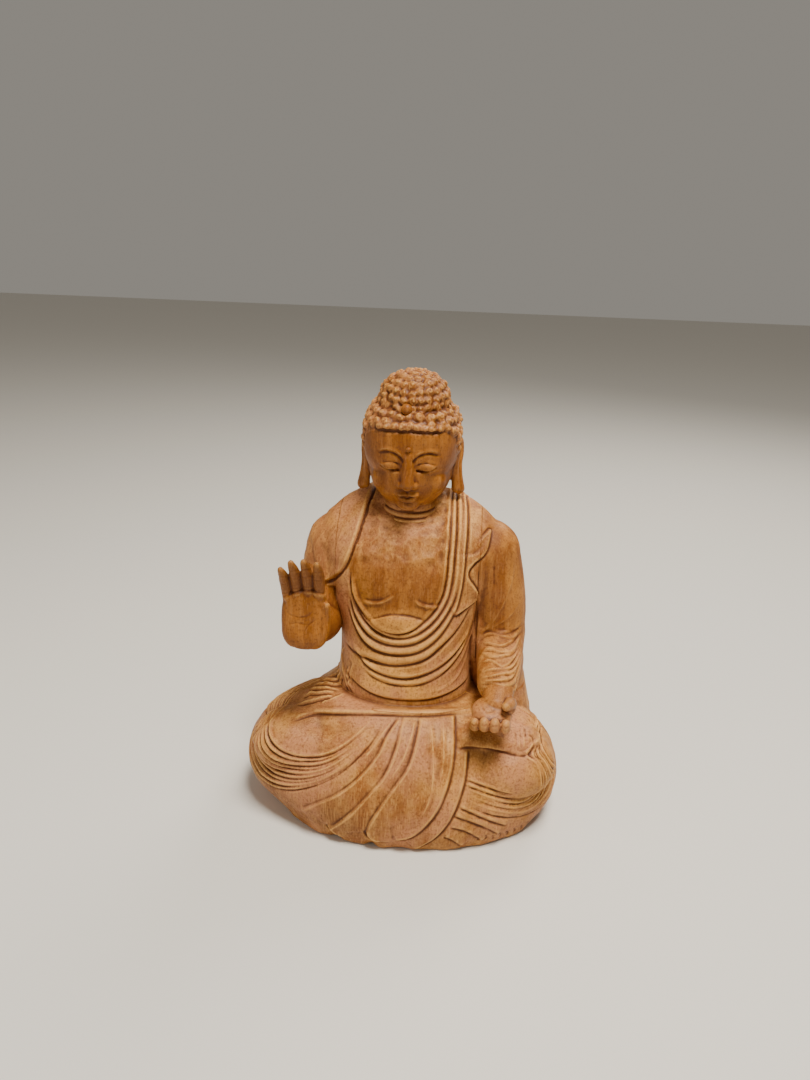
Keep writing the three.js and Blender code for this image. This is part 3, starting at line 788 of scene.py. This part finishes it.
def curl_rows(centre, radii, square, elevations, pitch, keep):
    """Rows of curls round a squared ball, wherever keep allows one."""
    for row, elevation in enumerate(elevations):
        e = math.radians(elevation)
        around = 2 * math.pi * (radii.x + radii.y) / 2 * math.cos(e)
        count = max(1, round(around / pitch))
        for k in range(count):
            azimuth = 360 * (k + 0.5 * (row % 2)) / count - 180 + dice.uniform(-3, 3)
            e = math.radians(elevation + dice.uniform(-2.6, 2.6))
            a = math.radians(azimuth)
            d = Vector((math.sin(a) * math.cos(e), -math.cos(a) * math.cos(e), math.sin(e)))
            d /= sum(abs(part) ** square for part in d) ** (1 / square)
            spot = centre + Vector((d.x * radii.x, d.y * radii.y, d.z * radii.z))
            if keep(azimuth, spot):
                outward = Vector((d.x / radii.x, d.y / radii.y, d.z / radii.z)).normalized()
                curls.append((spot, outward, 1.6 + dice.uniform(-0.26, 0.22)))


curl_rows(SKULL, SKULL_R, SQUARE, [-58, -48, -38, -28, -18, -8, 2, 12, 22.5, 33, 43.5, 54], 2.9,
          lambda azimuth, spot: spot.z > hair_starts(azimuth)
          and ((spot - KNOT).x / 11.9) ** 2 + ((spot - KNOT).y / 11.9) ** 2
          + ((spot - KNOT).z / 9.7) ** 2 > 1)
curl_rows(KNOT, KNOT_R, 2, [-26, -11, 4, 19, 34, 49, 64, 79], 2.85,
          lambda azimuth, spot: ((spot - SKULL).x / 17) ** 2 + ((spot - SKULL).y / 17.2) ** 2
          + ((spot - SKULL).z / 13.6) ** 2 > 1)
for x in np.arange(-12.5, 12.6, 2.5):  # an even front row edges the forehead
    level = 14 - abs(x) * 0.08 + dice.uniform(-0.15, 0.15)
    share = 1 - abs(x / 16.5) ** SQUARE - ((level - 4.9) / 14.7) ** SQUARE
    y = 1.1 - 17 * share ** (1 / SQUARE)
    curls.append((Vector((x, y, level)), Vector((x / 14, -1, 0.2)).normalized(), 1.45))
for spot, outward, radius in curls:
    turn = outward.to_track_quat("Z", "Y").to_euler()
    clay.ball(spot - outward * 0.55, (radius * 1.16, radius, radius * 1.08), turn, detail=12)
    clay.ball(spot + outward * 0.3, radius * 0.56, turn, detail=10)
clay.to_world = Matrix.Identity(4)
NECK = [(105.6, -0.2, 7, 12.6, 12.2), (109, -0.3, 7, 11.7, 11.5), (112, -0.4, 6.8, 10.6, 10.6),
        (115, -0.5, 6.6, 9.8, 9.8), (120, -0.6, 6.5, 9.6, 9.6), (124, -0.7, 6.5, 9.2, 9.2)]
clay.stack(NECK, squareness=1, sides=64)
head = clay.fuse("head", HEAD_VOXEL, 6)
turned = np.array(upright)
local = head.co @ turned[:3, :3].T + turned[:3, 3]
hair_line = np.interp(np.degrees(np.abs(np.arctan2(local[:, 0], -local[:, 1]))),
                      HAIR_MARKS, SKIN_ENDS)
skin_mask = (local[:, 2] < hair_line - 0.4).astype(float)
ears = (np.abs(local[:, 0]) > 14.6) & (local[:, 2] < 6.5) & (local[:, 1] > -1.6)
head.smooth(16, mask=skin_mask * (1 - 0.7 * ears))
head.settle()
local = head.co @ turned[:3, :3].T + turned[:3, 3]


def on_face(points):
    """A curve given in the head's own frame as (x, z), dropped on the face."""
    line = []
    for x, z in spline(points, 30):
        start = bowed @ Vector((x, -60, z))
        way = Matrix.Rotation(HEAD_TILT, 3, "X") @ Vector((0, 1, 0))
        line.append(head.bvh.ray_cast(start, way)[0])
    return np.array(line)


for side in (-1, 1):
    lash = [(side * x, z) for x, z in ((2.6, -0.7), (4.2, -1.2), (6.2, -1.45), (8.2, -1), (9.8, 0.1))]
    lid = [(side * x, z) for x, z in ((2.5, 0.6), (4.2, 1.6), (6.3, 1.9), (8.3, 1.5), (9.9, 0.6))]
    brow = [(side * x, z) for x, z in ((1.5, 2.2), (2.6, 4.1), (4.8, 5.4), (7.6, 5.7), (10.6, 4.6))]
    head.groove(on_face(lash), 1.05, 0.36, ends=0.08)
    head.groove(on_face(lid), 0.4, 0.34, ends=0.2)
    head.groove(on_face([(x, z - 0.5) for x, z in brow]), 0.55, 0.5, ends=0.12)
    head.ridge(on_face([(x, z + 0.5) for x, z in brow]), 0.35, 0.5, ends=0.15)
mouth = [(-3.9, -10), (-2.4, -10.5), (-1, -10.4), (0, -10.8), (1, -10.4), (2.4, -10.5), (3.9, -10)]
head.groove(on_face(mouth), 0.7, 0.3, ends=0.06)
head.groove(on_face([(-2, -13.1), (0, -13.4), (2, -13.1)]), 0.4, 0.7, ends=0.3)
head.groove(on_face([(0, -8.3), (0, -9.2)]), 0.3, 0.5, ends=0.2)
for ring, depth in ((107.4, 0.7), (109.4, 0.75), (111.6, 0.7), (113.8, 0.5)):
    loop = []
    for a in np.linspace(-2.4, 2.4, 50):
        loop.append((-0.3 + 12 * math.sin(a), 7 - 12 * math.cos(a), ring + 2.2 * (1 - math.cos(a))))
    head.groove(head.wrapped(loop, 90), depth, 0.42, ends=0.1)
tree = KDTree(len(head.co))
for i, p in enumerate(head.co):
    tree.insert(p, i)
tree.balance()
for spot, outward, radius in curls:  # each curl is cut as a spiral
    centre = bowed @ (spot + outward * 0.9)
    axis = (bowed.to_3x3() @ outward).normalized()
    across = axis.orthogonal().normalized()
    up = axis.cross(across)
    start = dice.uniform(0, 6.28)
    for p, i, _ in tree.find_range(centre, radius * 1.15):
        away = p - centre
        u, v = away.dot(across), away.dot(up)
        r = math.hypot(u, v)
        wave = math.cos(math.atan2(v, u) + start - r * 6.4)
        head.height[i] += 0.13 * wave * min(1.0, r / 0.3) * (1 - min(1.0, r / (radius * 1.1)) ** 3)
hair = smoothstep(-0.3, 0.5, local[:, 2] - hair_line)
head.facets(1.5, 0.3, hair)
head.groove(on_face([(-12, 11.9), (-6, 12.3), (0, 12.5), (6, 12.3), (12, 11.9)]), 0.6, 0.5)
head.cloth = 0.45 * hair + 0.75 * smoothstep(115.5, 113, head.co[:, 2])
# The hair is painted a little darker.
head.tone_light_and_shade = -0.25 * hair
head.carve()
head.store()
pieces["head"] = place(head.mesh, "carved_head")

# ---- The raised right hand ----------------------------------------------------------------

clay = Clay()
clay.limb([(-31.8, 2, 84), (-31.2, -0.5, 76), (-30.9, -4, 69.4), (-31.4, -13, 70.8),
           (-31.6, -22, 74.2), (-31.6, -27, 77)], [8, 8.1, 8.2, 7.2, 5.8, 5], detail=28)
clay.ball((-31.9, -29.8, 81.4), (7.9, 3.7, 11.4), (-0.14, 0, 0), detail=40, square=2.5)
clay.ball((-28, -30.4, 76.4), (4.4, 3.5, 6.4), (-0.1, 0.2, 0), detail=28)
clay.ball((-35.8, -30.4, 76.6), (3.9, 3.2, 6.2), (-0.1, -0.1, 0), detail=28)
FINGERS = [
    # (base x, base z, tip x, tip z, base radius), little finger first
    (-37.7, 89.4, -38.7, 100.8, 2.1),
    (-34.2, 91.2, -35.3, 103.2, 2.25),
    (-30.5, 92, -31.2, 103.8, 2.3),
    (-26.9, 91, -26.9, 103.2, 2.25),
]
for bx, bz, tx, tz, r in FINGERS:
    path = [(bx + 0.2, -29, bz - 6), (bx, -29.9, bz - 1),
            (bx * 0.5 + tx * 0.5, -31.8, bz * 0.5 + tz * 0.5), (tx, -35, tz - 1.2)]
    clay.limb(path, [r, r, r * 0.98, r * 0.58], flat=(0.82, 0.85, 1), detail=20)
clay.limb([(-27, -28.6, 75), (-25.2, -29.4, 81), (-24.6, -30.8, 86)], [2.8, 2, 1.3], detail=20)
hand = clay.fuse("right_hand", HAND_VOXEL, 7)
hand.settle()
hand.swell((-31.4, -33, 81.5), (4.6, 4, 5), -0.7)
PALM_LINES = [
    [(-38.6, 84.2), (-35, 82.6), (-31, 82.8), (-28, 85.2)],
    [(-26, 82.6), (-29.6, 80.4), (-31.6, 76.6), (-31, 71.5)],
    [(-37.4, 79.6), (-34, 80.4), (-30.6, 80)],
]
for line in PALM_LINES:
    hand.groove(hand.drawn(line), 0.2, 0.3, ends=0.25)
hand.edge(hand.drawn([(-25, 90.6), (-30.6, 91.4), (-34.6, 90.4), (-38.8, 88.4)]), 0.7, 0.2, 3.2,
          ends=0.06, undercut=0.3)
for bx, bz, tx, tz, r in FINGERS:
    for share in (0.1, 0.42, 0.7):
        x, z = bx + (tx - bx) * share, bz + (tz - bz) * share
        hand.groove(hand.drawn([(x - r * 0.8, z + 0.25), (x, z - 0.1), (x + r * 0.8, z + 0.25)], count=14),
                    0.14, 0.26, ends=0.15)
hand.groove(hand.drawn([(-25.8, 72), (-25.5, 78), (-25.9, 84)]), 0.35, 0.4, ends=0.2)
hand.cloth[:] = 0.0
# Painted shade on the raised fingers.
hand.tone_light_and_shade = -1.5 * smoothstep(89, 92.5, hand.co[:, 2])
hand.carve()
hand.store()
pieces["right_forearm_and_hand"] = place(hand.mesh, "carved_right_forearm_and_hand")

# ---- The resting left hand ------------------------------------------------------------------

clay = Clay()
clay.limb([(34.8, -17, 55.6), (34.4, -23, 53.8), (33.6, -28, 52)], [4.8, 4.9, 4.5],
          flat=(1.1, 1, 0.92), detail=24)
clay.ball((32.3, -30.4, 50.4), (7, 6.4, 3.6), (0.34, 0.08, 0), detail=32)
clay.limb([(36.6, -26, 53.4), (38, -30, 52.6)], [3, 2.4], detail=20)
LEFT_FINGERS = [
    # (root x, tip x, tip y, tip z, radius), little finger first
    (27.6, 26.4, -36.6, 49.2, 2),
    (30.4, 29.6, -37.8, 50.3, 2.2),
    (33.6, 33.1, -38.2, 50.5, 2.25),
    (36.9, 36.7, -37.4, 49.8, 2.15),
]
for root, tip, y, z, r in LEFT_FINGERS:
    clay.limb([(root, -30.5, 50), ((root + tip) / 2, -34.4, 48.2), (tip, y + 1, z - 0.9),
               (tip, y + 0.4, z + 0.4)], [r, r * 1.05, r, r * 0.85], flat=(0.86, 1, 1), detail=18)
clay.limb([(38.4, -28, 53), (38, -31.4, 54.8), (36.6, -34, 55.2)], [2.3, 2, 1.6], detail=18)
hand = clay.fuse("left_hand", HAND_VOXEL, 5)
hand.settle()
hand.swell((32.6, -32, 52.6), (3.2, 3.4, 2.6), -0.6)
for root, tip, y, z, r in LEFT_FINGERS:
    nail = [(tip - 0.9, z + 0.7), (tip, z + 0.2), (tip + 0.9, z + 0.7)]
    hand.groove(hand.drawn(nail, count=12), 0.25, 0.25, ends=0.1)
hand.groove(hand.drawn([(28, 53.6), (30.6, 52.6), (33.6, 53.4)]), 0.3, 0.3, ends=0.2)
hand.cloth[:] = 0.6
hand.carve()
hand.store()
pieces["left_hand"] = place(hand.mesh, "carved_left_hand")

# ---- The two set beads -----------------------------------------------------------------------

for node, spot, radius in (("crown_bead", (-1.2, -10.2, 18.6), 1.9), ("brow_bead", (0, -15.6, 6.6), 0.85)):
    bead = Clay()
    bead.to_world = bowed
    bead.ball(spot, (radius, radius * 0.92, radius), detail=24)
    mesh = bead.to_mesh(node)
    for name, value in (("crest", 0.02), ("hollow", 0.02), ("cloth", 0.1), ("tone_light_and_shade", 0)):
        keep_values(mesh, name, np.full(len(mesh.vertices), value))
    pieces[node] = place(mesh, "turned_" + node)


# ---- Finishes ----------------------------------------------------------------------------------


def colour(code):
    """An sRGB hex code as linear RGBA."""
    parts = [int(code[i : i + 2], 16) / 255 for i in (0, 2, 4)]
    return (*[c / 12.92 if c <= 0.04045 else ((c + 0.055) / 1.055) ** 2.4 for c in parts], 1)


def add_node(tree, kind, values=None, **settings):
    """A shader node with its settings, and its inputs set or linked by name."""
    made = tree.nodes.new(kind)
    for name, value in settings.items():
        setattr(made, name, value)
    for name, value in (values or {}).items():
        if isinstance(value, bpy.types.NodeSocket):
            tree.links.new(value, made.inputs[name])
        else:
            made.inputs[name].default_value = value
    return made


# Real sizes in the wood, in millimetres. Fibres and pores are finer in the real wood and
# are drawn this coarse because they would not show otherwise.
FIBRE = 0.5
SPECK = 0.85
RING = 4.8
SCOOP = 5.2
STAIN = 18
RUBBED = 23


def carved_wood(name, robe, robe_light, skin, skin_light, roughness):
    """Knife-cut wood: pinker and faceted on cloth, browner and smoother on skin."""
    material = bpy.data.materials.new(name)
    material.use_nodes = True
    tree = material.node_tree
    tree.nodes.clear()
    place_at = add_node(tree, "ShaderNodeTexCoord").outputs["Object"]
    along = add_node(tree, "ShaderNodeMapping", {"Vector": place_at, "Scale": (1, 1, 0.09)})
    grain, rings, stain, rubbed, specks = (
        add_node(tree, "ShaderNodeTexNoise",
                 {"Vector": source, "Scale": 1 / (size * MM), "Detail": detail,
                  "Roughness": broken_up, "Distortion": bent}).outputs["Fac"]
        for source, size, detail, broken_up, bent in (
            (along.outputs[0], FIBRE, 3, 0.6, 0),
            (along.outputs[0], RING, 4, 0.55, 0.6),
            (place_at, STAIN, 3, 0.6, 0),
            (place_at, RUBBED, 4, 0.62, 0),
            (place_at, SPECK, 2, 0.7, 0),
        )
    )
    scoops = add_node(tree, "ShaderNodeTexVoronoi",
                      {"Vector": place_at, "Scale": 1 / (SCOOP * MM), "Randomness": 0.9})
    cloth, crest, hollow, tone_light_and_shade = (
        add_node(tree, "ShaderNodeAttribute", attribute_name=kept).outputs["Fac"]
        for kept in ("cloth", "crest", "hollow", "tone_light_and_shade")
    )

    # Growth rings in two close browns, one pair for cloth and one for skin
    share = add_node(tree, "ShaderNodeMapRange", {"Value": rings, 1: 0.38, 2: 0.62}).outputs[0]
    on_robe = add_node(tree, "ShaderNodeMix", {0: share, 6: colour(robe), 7: colour(robe_light)},
                       data_type="RGBA").outputs[2]
    on_skin = add_node(tree, "ShaderNodeMix", {0: share, 6: colour(skin), 7: colour(skin_light)},
                       data_type="RGBA").outputs[2]
    base = add_node(tree, "ShaderNodeMix", {0: cloth, 6: on_skin, 7: on_robe},
                    data_type="RGBA").outputs[2]
    dry = add_node(tree, "ShaderNodeMapRange", {"Value": cloth, 3: 0.35, 4: 1.0}).outputs[0]
    broken = add_node(tree, "ShaderNodeMapRange",
                      {"Value": specks, 1: 0.38, 2: 0.56, 3: 0.25, 4: 1.0}).outputs[0]
    # Each layer: what it follows, where it starts and is full, how much it covers at most,
    # its colour, and what else holds it back
    for follows, start, full, most, tint, held_back in (
        (tone_light_and_shade, 0, 1, 0.8, "dd9f4c", ()),  # golden patches on front faces, partly painted light
        (tone_light_and_shade, 0, -1, 0.6, "62391f", ()),  # painted shade in low and sheltered places, dull and dark
        (stain, 0.42, 0.64, 0.6, "7a4518", ()),  # oil sunk in unevenly leaves darker clouds
        (rubbed, 0.46, 0.6, 0.85, "b67a52", (cloth,)),  # dry rubbed cloth is pale and pinkish
        (specks, 0.48, 0.7, 0.62, "5f2f0e", ()),  # dark pores
        (grain, 0.5, 0.72, 0.5, "d89f5a", (dry,)),  # pale cut fibres, fewer on polished skin
        (hollow, -0.02, -0.22, 0.88, "4f240a", ()),  # painted shade darkens the cuts and hollows
        (crest, 0.045, 0.17, 0.8, "e0a95c", (dry, broken)),  # pale crests, partly real wear and partly painted highlight, in broken strokes
    ):
        share = add_node(tree, "ShaderNodeMapRange",
                         {"Value": follows, 1: start, 2: full, 3: 0.0, 4: most}).outputs[0]
        for other in held_back:
            share = add_node(tree, "ShaderNodeMath", {0: share, 1: other},
                             operation="MULTIPLY").outputs[0]
        base = add_node(tree, "ShaderNodeMix", {0: share, 6: base, 7: colour(tint)},
                        data_type="RGBA").outputs[2]
    fine = add_node(tree, "ShaderNodeBump", {"Height": grain, "Strength": 0.3, "Distance": 0.1 * MM})
    cuts = add_node(tree, "ShaderNodeMapRange", {"Value": scoops.outputs["Distance"], 2: 0.8})
    knife = add_node(tree, "ShaderNodeBump",
                     {"Height": cuts.outputs[0], "Strength": 0.35, "Distance": 0.5 * MM,
                      "Normal": fine.outputs[0]})
    rough = add_node(tree, "ShaderNodeMapRange",
                     {"Value": stain, 1: 0.3, 2: 0.7, 3: roughness - 0.06,
                      4: roughness + 0.08}).outputs[0]
    shader = add_node(
        tree,
        "ShaderNodeBsdfPrincipled",
        {"Base Color": base, "Roughness": rough, "Normal": knife.outputs[0], "IOR": 1.46,
         "Specular IOR Level": 0.24},
    )
    out = tree.nodes.new("ShaderNodeOutputMaterial")
    tree.links.new(shader.outputs[0], out.inputs[0])
    return material


# The robe reads as dry red-brown wood, faceted by the knife and hardly shining.
robe_wood = carved_wood("knife-cut red-brown wood", "9c6029", "c88f4c", "814811", "b2742e", 0.54)
# The head and hands read as closer, oiled orange-brown wood with a soft sheen.
skin_wood = carved_wood("polished orange-brown wood", "925a25", "b57c40", "80470f", "a76826", 0.46)
# The pegs read as pale, plain, unoiled wood.
peg_wood = carved_wood("plain turned wood", "b98a56", "c99c68", "b98a56", "c99c68", 0.6)

SLOTS = {"head": "skin_wood", "right_forearm_and_hand": "skin_wood", "left_hand": "skin_wood",
         "crown_bead": "skin_wood", "brow_bead": "skin_wood"}
for node, piece in pieces.items():
    slot_name = SLOTS.get(node, "robe_wood")
    piece.data.materials.clear()
    piece.data.materials.append(skin_wood if slot_name == "skin_wood" else robe_wood)
    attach(piece, "root")
    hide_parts(node)
for node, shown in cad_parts.items():
    if node not in pieces:
        shown.data.materials.clear()
        shown.data.materials.append(peg_wood)

# ---- Floor, light and camera ---------------------------------------------------------------------


# The floor reads as pale and matt, with no mirror of the figure in it.
floor_paint = bpy.data.materials.new("pale matt floor")
floor_paint.use_nodes = True
paint = floor_paint.node_tree.nodes["Principled BSDF"]
paint.inputs["Base Color"].default_value = colour("d9d5cd")
paint.inputs["Roughness"].default_value = 0.8
floor_bm = bmesh.new()
bmesh.ops.create_grid(floor_bm, x_segments=1, y_segments=1, size=3.0)
floor_mesh = bpy.data.meshes.new("floor")
floor_bm.to_mesh(floor_mesh)
floor_bm.free()
floor = added("floor", floor_mesh)
floor.data.materials.append(floor_paint)


def lamp(name, spot, target, size, power, tint):
    """A round soft lamp aimed at a point."""
    data = bpy.data.lights.new(name, "AREA")
    data.shape = "DISK"
    data.size = size
    data.energy = power
    data.color = tint
    holder = added(name, data)
    holder.location = spot
    aim = Vector(target) - Vector(spot)
    holder.rotation_euler = aim.to_track_quat("-Z", "Y").to_euler()


lamp("key", (0.12, -0.2, 0.75), (0, -0.01, 0.08), 0.26, 9, (1, 0.95, 0.86))
lamp("fill", (-0.6, -0.45, 0.3), (0, 0, 0.08), 0.5, 1.2, (1, 0.96, 0.9))
lamp("rim", (0.3, 0.5, 0.6), (0, 0, 0.1), 0.4, 3.0, (1, 0.94, 0.85))
world = bpy.data.worlds.new("soft room")
world.use_nodes = True
world.node_tree.nodes["Background"].inputs["Color"].default_value = colour("ebe4d8")
world.node_tree.nodes["Background"].inputs["Strength"].default_value = 0.32
bpy.context.scene.world = world

CAMERA_SPOT = Vector((17.27, -269.19, 195.48))
CAMERA_LENS = 26.67
azimuth, pitch, roll = math.radians(4), math.radians(19.5), math.radians(-2.1)
camera_data = bpy.data.cameras.new("camera")
camera_data.lens = CAMERA_LENS
camera = added("camera", camera_data)
forward = Vector((-math.sin(azimuth) * math.cos(pitch), math.cos(azimuth) * math.cos(pitch),
                  -math.sin(pitch)))
level = Vector((math.cos(azimuth), math.sin(azimuth), 0))
down = forward.cross(level)
right = math.cos(roll) * level + math.sin(roll) * down
lowered = -math.sin(roll) * level + math.cos(roll) * down
turn = Matrix((right, -lowered, -forward)).transposed()
camera.matrix_world = Matrix.Translation(CAMERA_SPOT * MM) @ turn.to_4x4()
bpy.context.scene.camera = camera
